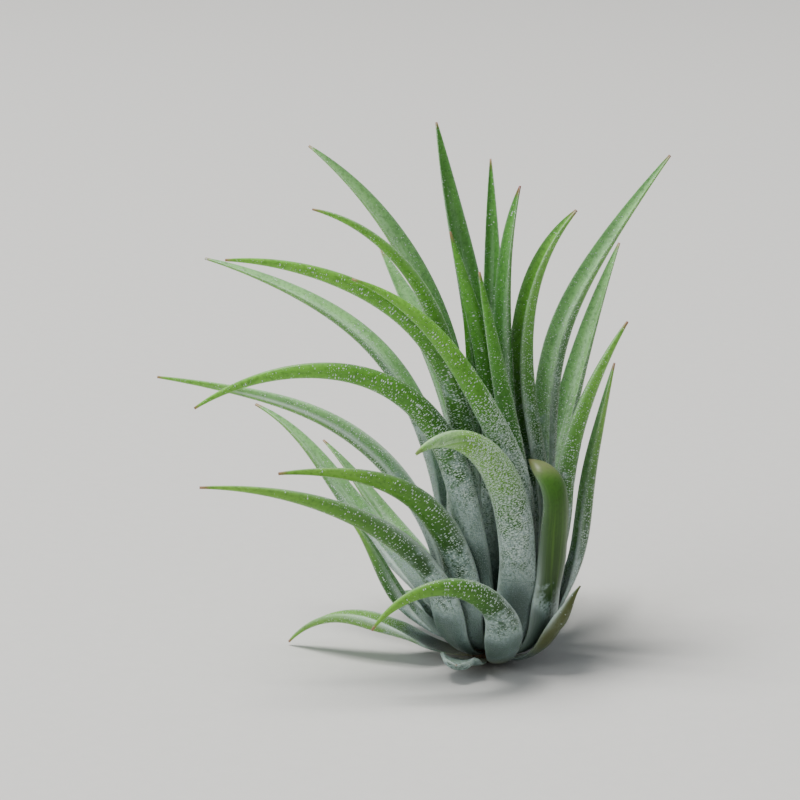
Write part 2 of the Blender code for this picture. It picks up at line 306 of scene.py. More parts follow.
class LeafForm:
    """The leaf's surface as a formula: a place on it is a run along it and a place across it."""

    FINE_STEPS = 400
    ROUND_EDGE_POWER = 26

    def __init__(self, leaf: Leaf, bulb: Bulb) -> None:
        """Works out the leaf's midline and the sizes of its section.

        Args:
            leaf: the leaf's design.
            bulb: the sizes that all leaves share.
        """
        self.leaf = leaf
        self.bulb = bulb
        root_height = max(bulb.lowest_root, bulb.first_root_height - bulb.root_drop * (leaf.ring - 1))
        root_radius = bulb.stem_radius(root_height) + bulb.root_gap
        root_rise = max(bulb.lowest_root_rise, bulb.first_root_rise - bulb.root_rise_drop * (leaf.ring - 1))
        root_rise = math.radians(min(root_rise, leaf.rises[0] - bulb.least_sheath_bend))
        shoulder_rise = math.radians(min(leaf.rises[0], 90))
        bend = (shoulder_rise - root_rise) / (math.sin(shoulder_rise) - math.sin(root_rise))
        self.sheath = (bulb.ring_radius(leaf.ring) - root_radius) * bend
        self.total = self.sheath + leaf.length * MM
        self.run = np.linspace(0, self.total, self.FINE_STEPS + 1)
        blade = self.blade_share(self.run)

        in_sheath = root_rise + (shoulder_rise - root_rise) * self.run / self.sheath
        in_blade = np.radians(curve_through(bulb.rise_knots, leaf.rises, blade))
        rise = np.where(self.run < self.sheath, in_sheath, in_blade)
        heading = np.radians(leaf.azimuth + leaf.sweep * (1 - (1 - blade) ** 3))
        flat = np.cos(rise)
        self.along = np.stack([flat * np.cos(heading), flat * np.sin(heading), np.sin(rise)], 1)

        azimuth = math.radians(leaf.azimuth)
        outward = np.array([math.cos(azimuth), math.sin(azimuth), 0])
        root = outward * root_radius + np.array([0, 0, root_height])
        steps = 0.5 * (self.along[1:] + self.along[:-1]) * self.total / self.FINE_STEPS
        self.points = root + np.concatenate([np.zeros((1, 3)), np.cumsum(steps, 0)])
        self.across = self.untwisted_across(azimuth)
        turned = smooth_step(blade / bulb.turn_to_blade)[:, None]
        self.upper = unit(np.cross(self.along, self.across) * turned - outward * (1 - turned))
        self.width, self.half_angle, self.thickness = self.section_sizes(blade)

    def blade_share(self, run: Array) -> Array:
        """0 all along the sheath, and from 0 to 1 along the blade."""
        return np.clip((run - self.sheath) / (self.total - self.sheath), 0, 1)

    def untwisted_across(self, azimuth: float) -> Array:
        """Carries the direction across the leaf along it without twisting.

        Args:
            azimuth: where the sheath stands round the stem, in radians.

        Returns:
            The direction at each fine step.
        """
        across = np.empty_like(self.along)
        across[0] = (-math.sin(azimuth), math.cos(azimuth), 0)
        for i in range(1, len(across)):
            before = across[i - 1]
            across[i] = unit(before - self.along[i] * (before @ self.along[i]))
        return across

    def section_sizes(self, blade: Array) -> tuple[Array, Array, Array]:
        """Works out the section's sizes along the leaf.

        Args:
            blade: the share of the blade at each fine step.

        Returns:
            Width along the section's arc, half the arc's angle, and thickness.
        """
        bulb = self.bulb
        blade_width = self.leaf.width * MM
        sheath_width = bulb.sheath_widening * blade_width
        sheath_half_angle = 0.5 * sheath_width / bulb.ring_radius(self.leaf.ring)
        narrowed = smooth_step(blade / bulb.narrow_to_blade)
        width = sheath_width + (blade_width - sheath_width) * narrowed
        width = width * (1 - bulb.tip_narrowing * blade**self.leaf.fullness)
        from_axis = np.hypot(self.points[:, 0], self.points[:, 1])
        width = np.where(self.run < self.sheath, 2 * sheath_half_angle * from_axis, width)
        curled = smooth_step(blade / bulb.curl_to_blade)
        half_angle = sheath_half_angle + (math.radians(bulb.plain_curl) - sheath_half_angle) * curled
        own_curl = smooth_step((blade - bulb.own_curl_from) / (bulb.own_curl_to - bulb.own_curl_from))
        half_angle = half_angle + math.radians(self.leaf.curl - bulb.plain_curl) * own_curl
        thickened = smooth_step(blade / bulb.thicken_to_blade)
        blade_thickness = bulb.blade_thickness_share * blade_width
        thickness = bulb.sheath_thickness + (blade_thickness - bulb.sheath_thickness) * thickened
        past_thickest = (blade - bulb.thicken_to_blade) / (1 - bulb.thicken_to_blade)
        return width, half_angle, thickness * (1 - bulb.tip_thinning * smooth_step(past_thickest))

    def read(self, values: Array, run: Array) -> Array:
        """Reads values, given for each fine step, at any runs along the leaf."""
        if values.ndim == 1:
            return np.interp(run, self.run, values)
        return np.stack([np.interp(run, self.run, column) for column in values.T], -1)

    def skin(self, run: Array, place: Array, outer: Array) -> tuple[Array, ...]:
        """Finds points on the leaf's skin.

        Args:
            run: distance along the leaf from its root.
            place: -1 at one margin, 0 in the middle and 1 at the other margin.
            outer: 1 on the outer, lower face and 0 on the inner, channelled one.

        Returns:
            The points, the directions that point out of the skin, and those along the leaf.
        """
        along = unit(self.read(self.along, run))
        across = self.read(self.across, run)
        across = unit(across - along * np.sum(across * along, 1, keepdims=True))
        upper = unit(self.read(self.upper, run))
        half_angle = self.read(self.half_angle, run)
        radius = self.read(self.width, run) / (2 * half_angle)
        angle = half_angle * place
        sine = np.sin(angle)[:, None]
        cosine = np.cos(angle)[:, None]
        inner = self.read(self.points, run) + radius[:, None] * (sine * across + (1 - cosine) * upper)
        outward = unit(np.cross(cosine * across + sine * upper, along))
        thinned = 1 - self.bulb.edge_thinning * np.abs(place) ** self.bulb.edge_power
        rounded = np.sqrt(np.clip(1 - np.abs(place) ** self.ROUND_EDGE_POWER, 0, 1))
        depth = self.read(self.thickness, run) * thinned * rounded
        points = inner + outward * (depth * outer)[:, None]
        points[:, 2] = np.maximum(points[:, 2], 0)
        return points, outward * (2 * outer - 1)[:, None], along


class Graph:
    """A material's nodes, laid out by short calls."""

    def __init__(self, name: str) -> None:
        """Starts a material with its shader alone."""
        self.material = bpy.data.materials.new(name)
        self.material.use_nodes = True
        self.tree = self.material.node_tree
        self.shader = self.tree.nodes["Principled BSDF"]

    def node(self, kind: str) -> bpy.types.Node:
        """Adds a shader node of a kind."""
        return self.tree.nodes.new("ShaderNode" + kind)

    def feed(self, socket: Socket, value: Socket | float | tuple) -> None:
        """Links a socket's output, or sets a plain value."""
        if isinstance(value, bpy.types.NodeSocket):
            self.tree.links.new(value, socket)
        elif isinstance(value, tuple) and len(value) == 3 and socket.type == "RGBA":
            socket.default_value = (*value, 1)
        else:
            socket.default_value = value

    def surface(self, **values: Socket | float | tuple) -> None:
        """Sets the shader's sockets, named with _ for each space."""
        for name, value in values.items():
            self.feed(self.shader.inputs[name.replace("_", " ")], value)

    def attribute(self, name: str) -> Socket:
        """Reads a number that the piece keeps at each vertex."""
        node = self.node("Attribute")
        node.attribute_name = name
        return node.outputs["Fac"]

    def object_point(self) -> Socket:
        """The point on the piece, in metres."""
        return self.node("TexCoord").outputs["Object"]

    def leaf_point(self, scale: tuple[float, float, float]) -> Socket:
        """The point on the leaf's flat blank, across and along it in metres, scaled."""
        node = self.node("Mapping")
        node.inputs["Scale"].default_value = scale
        self.feed(node.inputs["Vector"], self.node("TexCoord").outputs["UV"])
        return node.outputs["Vector"]

    def math(self, operation: str, first: Socket | float, second: Socket | float = 0.0) -> Socket:
        """One sum on two numbers."""
        node = self.node("Math")
        node.operation = operation
        self.feed(node.inputs[0], first)
        self.feed(node.inputs[1], second)
        return node.outputs[0]

    def ease(self, value: Socket, low: float, high: float) -> Socket:
        """Eases from 0 to 1 while value goes from low to high, or back where low is the higher."""
        node = self.node("MapRange")
        node.interpolation_type = "SMOOTHSTEP"
        upward = low < high
        for socket, number in (("From Min", min(low, high)), ("From Max", max(low, high)),
                               ("To Min", 0 if upward else 1), ("To Max", 1 if upward else 0)):
            node.inputs[socket].default_value = number
        self.feed(node.inputs["Value"], value)
        return node.outputs["Result"]

    def eased_part(self, value: Socket, low: float, high: float, most: float) -> Socket:
        """Eases from 0 to most while value goes from low to high."""
        return self.math("MULTIPLY", self.ease(value, low, high), most)

    def mix(self, share: Socket | float, first: Socket | Colour, second: Socket | Colour) -> Socket:
        """The first colour turning into the second as share goes from 0 to 1."""
        node = self.node("Mix")
        node.data_type = "RGBA"
        factor, start, end = (next(s for s in node.inputs if s.identifier == identifier)
                              for identifier in ("Factor_Float", "A_Color", "B_Color"))
        self.feed(factor, share)
        self.feed(start, first)
        self.feed(end, second)
        return next(s for s in node.outputs if s.identifier == "Result_Color")

    def noise(self, vector: Socket, scale: float, detail: float = 3.0) -> Socket:
        """Cloudy noise, from 0 to 1 about 0.5."""
        node = self.node("TexNoise")
        self.feed(node.inputs["Vector"], vector)
        node.inputs["Scale"].default_value = scale
        node.inputs["Detail"].default_value = detail
        return node.outputs["Fac"]

    def specks(self, vector: Socket, scale: float, radius: float, cover: Socket) -> Socket:
        """Round specks, 1 at a speck's middle and 0 beyond its radius.

        Args:
            vector: the point on the flat blank that the pattern is read at.
            scale: how many cells lie along a metre; each cell holds a speck or none.
            radius: a speck's radius, as a share of a cell.
            cover: the share of the cells that hold a speck.

        Returns:
            The pattern.
        """
        node = self.node("TexVoronoi")
        node.voronoi_dimensions = "2D"
        self.feed(node.inputs["Vector"], vector)
        node.inputs["Scale"].default_value = scale
        draw = self.node("SeparateColor")
        self.feed(draw.inputs[0], node.outputs["Color"])
        held = self.math("LESS_THAN", draw.outputs[0], cover)
        smallest, spread, full_share = 0.6, 0.8, 0.45
        size = self.math("ADD", smallest, self.math("MULTIPLY", draw.outputs[1], spread))
        reach = self.math("DIVIDE", node.outputs["Distance"], size)
        return self.math("MULTIPLY", held, self.ease(reach, radius, full_share * radius))

    def bump(self, height: Socket, depth: float, below: Socket | None = None) -> Socket:
        """A relief of that depth in metres, over another one if there is one."""
        node = self.node("Bump")
        node.inputs["Distance"].default_value = depth
        self.feed(node.inputs["Height"], height)
        if below is not None:
            self.feed(node.inputs["Normal"], below)
        return node.outputs["Normal"]


@dataclass(frozen=True)
class LeafFinish:
    """A leaf's skin: green flesh under fine silvery scales, with faint veins along it.

    film, bulb, base: the frost's colours from the blade down to the leaf's foot.
    The scales of patterns are in cells to a metre, and the depths of relief in metres.
    """

    slot: Slot
    flesh: Colour
    shaded: Colour
    fresh_and_sunlit: Colour
    channel: Colour
    silver: Colour = (0.72, 0.85, 0.79)
    tip: Colour = (0.30, 0.14, 0.09)
    red: Colour = (0.16, 0.012, 0.012)
    brown: Colour = (0.075, 0.085, 0.02)
    base: Colour = (0.08, 0.12, 0.10)
    film: Colour = (0.30, 0.40, 0.38)
    bulb: Colour = (0.11, 0.155, 0.15)
    dry: Colour = (0.25, 0.24, 0.13)
    patch_scale: float = 170
    cloud_scale: float = 560
    mottle_scale: float = 1900
    vein_scale: tuple[float, float, float] = (3200, 60, 1)
    dust_scale: float = 6200
    fleck_scale: float = 4000
    vein_depth: float = 0.06 * MM
    coat_depth: float = 0.08 * MM

    def material(self) -> bpy.types.Material:
        """Lays out the skin's nodes.

        Returns:
            The material, which reads each leaf's own attributes and blank.
        """
        graph = Graph(self.slot.value + "_skin")
        point = graph.object_point()
        blade = graph.attribute("blade")
        frost = graph.attribute("frost")
        dots = graph.attribute("dots")
        patches = graph.noise(point, self.patch_scale, 4)
        clouds = graph.noise(point, self.cloud_scale, 5)
        mottle = graph.noise(point, self.mottle_scale, 3)
        veins = graph.noise(graph.leaf_point(self.vein_scale), 1, 2)

        colour = graph.mix(graph.ease(blade, 0.08, 0.78), self.shaded, self.flesh)
        colour = graph.mix(graph.ease(blade, 0.45, 1.0), colour, self.fresh_and_sunlit)
        colour = graph.mix(graph.attribute("channel"), colour, self.channel)
        # painted highlight: pale streaks down the middle of the inner face, for the sky's reflection in its
        # channel
        highlight_stripe = graph.math("MULTIPLY", graph.attribute("highlight_stripe"), graph.ease(veins, 0.3, 0.6))
        colour = graph.mix(highlight_stripe, colour, self.silver)
        # partly painted light: the sunlit leaves' blades turn toward the fresh green, and other looks use
        # it for a paler blade
        colour = graph.mix(graph.math("MULTIPLY", graph.attribute("fresh_and_sunlit"), 0.9), colour, self.fresh_and_sunlit)
        colour = graph.mix(graph.eased_part(patches, 0.4, 0.7, 0.2), colour, self.shaded)
        colour = graph.mix(graph.eased_part(mottle, 0.45, 0.7, 0.35), colour, self.shaded)
        colour = graph.mix(graph.eased_part(veins, 0.5, 0.8, 0.2), colour, self.fresh_and_sunlit)
        colour = graph.mix(graph.attribute("tip"), colour, self.tip)
        colour = graph.mix(graph.attribute("red"), colour, self.red)

        blank = graph.leaf_point((1, 1, 1))
        dust = graph.specks(blank, self.dust_scale, 0.42, graph.ease(dots, 0.5, 1.0))
        flecks = graph.specks(blank, self.fleck_scale, 0.38, dots)
        coat = graph.math("MAXIMUM", graph.math("MULTIPLY", dust, 0.6), flecks)
        cloudy = graph.math("ADD", frost, graph.math("MULTIPLY", graph.math("SUBTRACT", clouds, 0.5), 1.6))
        filled = graph.eased_part(frost, 0.7, 0.95, 0.82)
        pores = graph.math("MAXIMUM", graph.ease(mottle, 0.75, 0.4), filled)
        film = graph.math("MULTIPLY", graph.ease(cloudy, 0.32, 0.8), pores)
        frosted = graph.mix(graph.ease(frost, 0.8, 1.08), self.film, self.bulb)
        colour = graph.mix(film, colour, frosted)
        colour = graph.mix(graph.ease(frost, 0.85, 1.2), colour, self.base)
        colour = graph.mix(graph.attribute("brown"), colour, self.brown)
        silver = graph.math("MULTIPLY", coat, graph.ease(frost, 1.0, 0.66))
        silver = graph.math("MAXIMUM", graph.math("MULTIPLY", silver, 0.85),
                            graph.math("MULTIPLY", graph.attribute("margin"), 0.8))
        colour = graph.mix(silver, colour, self.silver)
        colour = graph.mix(graph.attribute("dry"), colour, self.dry)

        rough = graph.math("ADD", 0.36, graph.math("MULTIPLY", silver, 0.3))
        relief = graph.bump(veins, self.vein_depth)
        relief = graph.bump(coat, self.coat_depth, relief)
        graph.surface(Base_Color=colour, Roughness=rough, Normal=relief, IOR=1.42,
                      Specular_IOR_Level=0.3, Subsurface_Weight=0.1,
                      Subsurface_Radius=(0.5, 1.0, 0.2), Subsurface_Scale=0.0006,
                      Sheen_Weight=0.12, Sheen_Roughness=0.3, Sheen_Tint=(0.8, 1.0, 0.85, 1))
        return graph.material


@dataclass(frozen=True)
class ScaleFinish:
    """The silvery water-drinking scales that stand on the skin."""

    silver: Colour = (0.80, 0.90, 0.84)
    shade: Colour = (0.50, 0.64, 0.50)
    worn: Colour = (0.22, 0.30, 0.28)
    patch_scale: float = 2400

    def material(self) -> bpy.types.Material:
        """A pale, half-matt material that differs a little from scale to scale."""
        graph = Graph("silver_scale")
        patches = graph.noise(graph.object_point(), self.patch_scale, 1)
        colour = graph.mix(graph.ease(patches, 0.3, 0.7), self.shade, self.silver)
        colour = graph.mix(graph.attribute("worn"), colour, self.worn)
        graph.surface(Base_Color=colour, Roughness=0.35, IOR=1.45,
                      Subsurface_Weight=0.1, Subsurface_Radius=(1.0, 1.0, 0.8), Subsurface_Scale=0.0002)
        return graph.material


@dataclass(frozen=True)
class StemFinish:
    """The stem's dry, woody surface."""

    brown: Colour = (0.16, 0.09, 0.045)
    crack: Colour = (0.05, 0.03, 0.015)
    crack_scale: float = 900
    crack_depth: float = 0.2 * MM

    def material(self) -> bpy.types.Material:
        """A matt brown material with fine cracks."""
        graph = Graph("stem_surface")
        cracks = graph.noise(graph.object_point(), self.crack_scale, 6)
        colour = graph.mix(graph.ease(cracks, 0.35, 0.6), self.crack, self.brown)
        graph.surface(Base_Color=colour, Roughness=0.9, Normal=graph.bump(cracks, self.crack_depth))
        return graph.material


@dataclass
class LeafSkin:
    """Makes the fine skin of one leaf from a flat blank.

    toward_tip: below 1, the rows of faces stand a little closer toward the tip.
    full_tip_blade: a blade shorter than this, in millimetres, has a shorter coloured tip.
    frost, outer_frost: where along the blade the frost starts to thin, and over what length.
    """

    form: LeafForm
    finish: bpy.types.Material
    steps_along: int = 66
    steps_across: int = 30
    toward_tip: float = 0.97
    tip_length: float = 1.0 * MM
    full_tip_blade: float = 20.0
    patch_size: float = 9 * MM
    dot_patch_size: float = 2.5 * MM
    dry_height: float = 3 * MM
    frost: tuple[float, float] = (-0.05, 0.8)
    outer_frost: tuple[float, float] = (-0.12, 0.72)

    def build(self) -> bpy.types.Object:
        """Rolls the blank into the leaf, closes it and dresses it.

        Returns:
            The finished piece, at the origin.
        """
        blank = bmesh.new()
        bmesh.ops.create_grid(blank, x_segments=self.steps_across, y_segments=self.steps_along, size=0.5)
        flat = np.array([vertex.co[:2] for vertex in blank.verts]) + 0.5
        run = self.form.total * flat[:, 1] ** self.toward_tip
        place, outer = self.roll(flat[:, 0])
        points, normal, _ = self.form.skin(run, place, outer)
        layers = self.marks(points, normal, run, place, outer)
        keys = {name: blank.verts.layers.float.new(name) for name in layers}
        uv = blank.loops.layers.uv.new("blank")
        across = (flat[:, 0] - 0.5) * 2 * self.form.read(self.form.width, run)
        for i, vertex in enumerate(blank.verts):
            vertex.co = points[i]
            for name, values in layers.items():
                vertex[keys[name]] = values[i]
            for loop in vertex.link_loops:
                loop[uv].uv = (across[i], run[i])
        bmesh.ops.remove_doubles(blank, verts=blank.verts[:], dist=MERGE_DISTANCE)
        bmesh.ops.holes_fill(blank, edges=[edge for edge in blank.edges if edge.is_boundary])
        bmesh.ops.recalc_face_normals(blank, faces=blank.faces[:])
        mesh = finished(blank, self.form.leaf.name + "_skin")
        mesh.shade_smooth()
        mesh.materials.append(self.finish)
        return put_in_scene(mesh.name, mesh)

    @staticmethod
    def roll(share: Array) -> tuple[Array, Array]:
        """The place across the leaf for a share round its section, and 1 on the outer face."""
        place = -np.cos(2 * math.pi * share)
        return place, (share > 0.5).astype(float)

    def marks(self, points: Array, normal: Array, run: Array, place: Array,
              outer: Array) -> dict[str, Array]:
        """Works out what the material reads at each vertex.

        Args:
            points: the vertices.
            normal: the directions that point out of the skin there.
            run: their distance along the leaf.
            place: their place across it.
            outer: 1 on the outer face.

        Returns:
            The values by the attribute's name, most of them shares from 0 to 1.
        """
        form = self.form
        leaf = form.leaf
        shortness = min(1.0, leaf.length / self.full_tip_blade)
        blade = np.where(run < form.sheath, (run - form.sheath) / form.total, form.blade_share(run))
        blade = blade * shortness
        inner = 1 - outer
        patch = ripple(points, self.patch_size, SEED + leaf.ring)
        reach = self.tip_length * shortness
        tip = smooth_step((reach * (1 + 0.3 * patch) - (form.total - run)) / reach + 0.35)
        frosted = self.outer_frost if leaf.slot() == Slot.OUTER else self.frost
        margin = np.abs(place) ** 9 * (1 - 0.75 * rising(blade, 0.2, 0.4))
        dots = 1.02 - 0.97 * rising(blade, -0.02, 0.85) + 0.15 * ripple(points, self.dot_patch_size, SEED)
        dots = dots * (1 - 0.5 * inner * rising(blade, 0, 0.3))
        # painted shade: fewer silver specks on the outer leaves' undersides
        if leaf.slot() == Slot.OUTER:
            dots = dots * lit_share(normal)
        values = {
            "blade": blade,
            "frost": 1.05 - 1.15 * rising(blade, *frosted) + 0.12 * patch,
            "dots": dots,
            "channel": inner * (0.4 + 0.6 * rising(blade, 0.05, 0.4)),
            # painted highlight down the middle of the inner face
            "highlight_stripe": 0.4 * inner * np.exp(-(place / 0.3) ** 2) * falling(blade, 1, 0.5),
            "margin": margin * (0.2 + 0.8 * rising(blade, 0, 0.2)),
            "tip": tip,
            **dict.fromkeys(("red", "fresh_and_sunlit", "brown"), np.zeros_like(blade)),
            "dry": falling(blade, 0, 0.1) * falling(points[:, 2], self.dry_height, self.dry_height),
        }
        values.update(self.own_marks(values, place, outer))
        return values

    def own_marks(self, values: dict[str, Array], place: Array, outer: Array) -> dict[str, Array]:
        """Works out what the leaf's own look changes; starts and lengths are shares of its blade.

        Args:
            values: what every leaf has, by the attribute's name.
            place: the vertices' place across the leaf.
            outer: 1 on the outer face.

        Returns:
            The values that differ, by the attribute's name.
        """
        look = self.form.leaf.look
        blade = values["blade"]
        frost = values["frost"]
        dots = values["dots"]
        # painted light: a fresher, paler green up the blade, most on the outer face, for the leaves that
        # are lit
        fresh_and_sunlit = 0.35 * rising(blade, 0.2, 0.5) * (0.25 + 0.75 * outer)
        if look == Look.SUNLIT:
            return {"fresh_and_sunlit": fresh_and_sunlit}
        if look == Look.FROSTED:
            return {"fresh_and_sunlit": fresh_and_sunlit,
                    "frost": frost + 0.16 * falling(blade, 0.5, 0.3) * rising(blade, 0, 0.1),
                    "dots": np.maximum(dots, 0.9 * falling(blade, 0.7, 0.25))}
        if look == Look.EDGED:
            middle = outer * rising(blade, -0.02, 0.1) * falling(blade, 0.9, 0.2)
            line = np.exp(-((place - 0.5) / 0.07) ** 2) * middle
            band = middle * rising(place, 0.46, 0.1)
            return {"channel": np.maximum(values["channel"], 0.8 * band),
                    "fresh_and_sunlit": fresh_and_sunlit * (1 - band),
                    "dots": dots * (1 - 0.5 * band),
                    "margin": np.maximum(values["margin"], 0.8 * line)}
        if look == Look.PALE:
            return {"fresh_and_sunlit": 0.75 * rising(blade, -0.1, 0.35),
                    "frost": frost - 0.3 * rising(blade, -0.05, 0.2),
                    "channel": 0.6 * values["channel"] + 0.3}
        # painted light: this look's blade also turns a little fresher green where it is lit
        if look == Look.GREEN_INSIDE:
            return {"fresh_and_sunlit": 0.25 * rising(blade, 0.2, 0.5),
                    "channel": 0.2 * values["channel"],
                    "highlight_stripe": 0.15 * values["highlight_stripe"]}
        if look == Look.PALE_END:
            return {"channel": np.maximum(values["channel"], 0.9 * rising(blade, 0.78, 0.12)),
                    # painted highlight: pale streaks over the curled end
                    "highlight_stripe": 0.5 * rising(blade, 0.76, 0.1) * falling(blade, 0.98, 0.06),
                    "fresh_and_sunlit": 0.5 * rising(blade, 0.4, 0.2),
                    "frost": frost + 0.4 * falling(blade, 0.8, 0.4) * rising(blade, 0.02, 0.3),
                    "dots": np.maximum(dots, 0.95 * falling(blade, 0.86, 0.14)),
                    "tip": 0.3 * values["tip"]}
        if look == Look.BROWN_TOP:
            flanks = np.abs(place) ** 1.5 * falling(blade, 0.6, 0.4)
            right = rising(place, -0.1, 0.8) * falling(blade, 0.5, 0.35)
            return {"blade": 0.65 * blade,
                    "frost": frost - 0.5 * rising(blade, -0.05, 0.3) + 0.45 * flanks,
                    "brown": 0.2 * rising(blade, 0, 0.3),
                    "dry": 0.6 * rising(blade + 0.06 * place, 0.78, 0.14),
                    "dots": np.zeros_like(dots),
                    "tip": 0.4 * values["tip"],
                    "margin": np.maximum(values["margin"], 0.5 * right)}
        if look == Look.WITHERED:
            return {"brown": 0.9 * rising(blade, -0.16, 0.14),
                    "dry": np.zeros_like(blade),
                    "dots": 0.1 * dots}
        return {"red": values["tip"]} if look == Look.RED_TIP else {}


@dataclass
class ScaleCoat:
    """Sets the silvery scales of one leaf on its skin, thick at its sheath and thin at its tip.

    close_spacing, open_spacing: between scales at the shoulder, and past open_from along the blade.
    row_pitch: from one row to the next, in spacings.
    channel_spacing: how many times wider the scales stand on the inner face.
    margin_from, fringe_from: the places across the leaf where a margin's own strip of scales
        starts, and past which scales are kept as the margin's.
    sizes, turn_spread: the smallest and largest size, and how far they turn off the leaf's line.
    worn_blade, worn_outer_blade: how far up the blade the scales look worn.
    """

    form: LeafForm
    finish: bpy.types.Material
    close_spacing: float = 0.25 * MM
    open_spacing: float = 0.31 * MM
    open_from: float = 0.55
    row_pitch: float = 0.9
    channel_spacing: float = 1.45
    margin_spacing: float = 0.26 * MM
    margin_from: float = 0.94
    fringe_from: float = 0.93
    length: float = 0.18 * MM
    lift: float = 0.10 * MM
    sunk: float = 0.03 * MM
    sizes: tuple[float, float] = (0.65, 1.3)
    turn_spread: float = 0.7
    outer_size: float = 0.76
    tip_shrink: float = 0.3
    patch_size: float = 3 * MM
    worn_blade: float = 0.28
    worn_outer_blade: float = 0.5
    worn_spread: float = 0.02
    bare_tip: float = 0.02
    bare_foot: float = 0.12
    seed: int = SEED
    count: int = field(default=0, init=False)

    def places(self) -> tuple[Array, Array, Array]:
        """Picks where the scales stand, in jittered rows across the leaf.

        Returns:
            Their runs along the leaf, places across it, and 1 where on the outer face.
        """
        form = self.form
        random = np.random.default_rng(self.seed)
        rows = []
        run = form.sheath
        end = form.total * (1 - self.bare_tip)
        while run < end:
            share = float(form.blade_share(np.array(run)))
            eased = float(smooth_step(np.array(share / self.open_from)))
            spacing = self.close_spacing + (self.open_spacing - self.close_spacing) * eased
            spacing = spacing / math.sqrt(SCALE_SHARE)
            width = float(form.read(form.width, np.array([run]))[0])
            for outer in (0, 1):
                if outer == 0 and share == 0:
                    continue
                count = max(1, round(width / (spacing if outer else spacing * self.channel_spacing)))
                across = (np.arange(count) + random.uniform(0.1, 0.9, count)) / count * 2 - 1
                along = run + spacing * random.uniform(-0.5, 0.5, count)
                rows.append(np.stack([along, across, np.full(count, outer)], 1))
            run += spacing * self.row_pitch
        margin = np.arange(form.sheath, end, self.margin_spacing / math.sqrt(SCALE_SHARE))
        for side in (-1, 1):
            along = margin + random.uniform(-0.4, 0.4, len(margin)) * self.margin_spacing
            across = side * random.uniform(self.margin_from, 1.0, len(margin))
            rows.append(np.stack([along, across, random.integers(0, 2, len(margin))], 1))
        picked = np.concatenate(rows)
        return picked[:, 0], picked[:, 1], picked[:, 2]

    def kept(self, points: Array, normal: Array, run: Array, place: Array) -> Array:
        """Thins the coat out in patches.

        Args:
            points: where the scales stand.
            normal: the directions that point out of the skin there.
            run: their distance along the leaf.
            place: their place across it.

        Returns:
            True for each scale that stays.
        """
        random = np.random.default_rng(self.seed + 1)
        leaf = self.form.leaf
        blade = self.form.blade_share(run)
        chance = 1.1 - 0.75 * rising(blade, 0, 0.75) + 0.35 * ripple(points, self.patch_size, self.seed)
        chance = chance * rising(blade, -0.03, self.bare_foot)
        # the outer leaves keep fewer scales, and fewer still underneath, as painted shade
        if leaf.slot() == Slot.OUTER and leaf.look != Look.PALE_END:
            chance = chance * (0.3 + 0.25 * rising(blade, 0.2, 0.3)) * lit_share(normal)
        if leaf.look == Look.BROWN_TOP:
            chance = np.zeros_like(chance)
        if leaf.look == Look.WITHERED:
            chance = 0.1 * chance
        else:
            at_margin = np.maximum(chance, 0.8 * rising(blade, 0, 0.2))
            chance = np.where(np.abs(place) > self.fringe_from, at_margin, chance)
        return random.uniform(0, 1, len(points)) < chance

    @staticmethod
    def one_scale() -> bpy.types.Mesh:
        """A low three-sided cone that leans toward the leaf's tip, about 1 long.

        Returns:
            Its mesh: x along the leaf, y across it and z out of it.
        """
        lean = 0.3
        cone = bmesh.new()
        bmesh.ops.create_cone(cone, cap_ends=True, segments=3, radius1=0.5, radius2=0, depth=1)
        bmesh.ops.remove_doubles(cone, verts=cone.verts[:], dist=0.001)
        bmesh.ops.translate(cone, verts=cone.verts[:], vec=(0, 0, 0.5))
        for vertex in cone.verts:
            vertex.co.x += lean * vertex.co.z
        bmesh.ops.triangulate(cone, faces=cone.faces[:])
        bmesh.ops.recalc_face_normals(cone, faces=cone.faces[:])
        return finished(cone, "one_scale")

    @staticmethod
    def copies(one: bpy.types.Mesh, count: int) -> bpy.types.Mesh:
        """Repeats a mesh by an array, into one mesh whose copies are still to be set in place."""
        holder = put_in_scene("holder", one)
        array = holder.modifiers.new("copies", "ARRAY")
        array.count = count
        array.use_merge_vertices = False
        mesh = bpy.data.meshes.new_from_object(holder.evaluated_get(bpy.context.evaluated_depsgraph_get()))
        bpy.data.objects.remove(holder)
        return mesh

    def build(self) -> bpy.types.Object | None:
        """Repeats one scale and sets each copy on the skin.

        Returns:
            The finished piece, at the origin, or None where the leaf keeps no scale.
        """
        run, place, outer = self.places()
        points, normal, along = self.form.skin(run, place, outer)
        keep = self.kept(points, normal, run, place)
        run, points, normal, along = run[keep], points[keep], normal[keep], along[keep]
        self.count = len(points)
        if self.count == 0:
            return None
        random = np.random.default_rng(self.seed + 2)
        side = unit(np.cross(normal, along))
        turn = random.normal(0, self.turn_spread, self.count)[:, None]
        ahead = np.cos(turn) * unit(np.cross(side, normal)) + np.sin(turn) * side
        side = np.cross(normal, ahead)
        blade = self.form.blade_share(run)
        outermost = self.form.leaf.slot() == Slot.OUTER
        shrunk = 1 - self.tip_shrink * rising(blade, 0, 0.95)
        if outermost:
            shrunk = self.outer_size * shrunk
        size = (random.uniform(*self.sizes, self.count) * shrunk)[:, None]

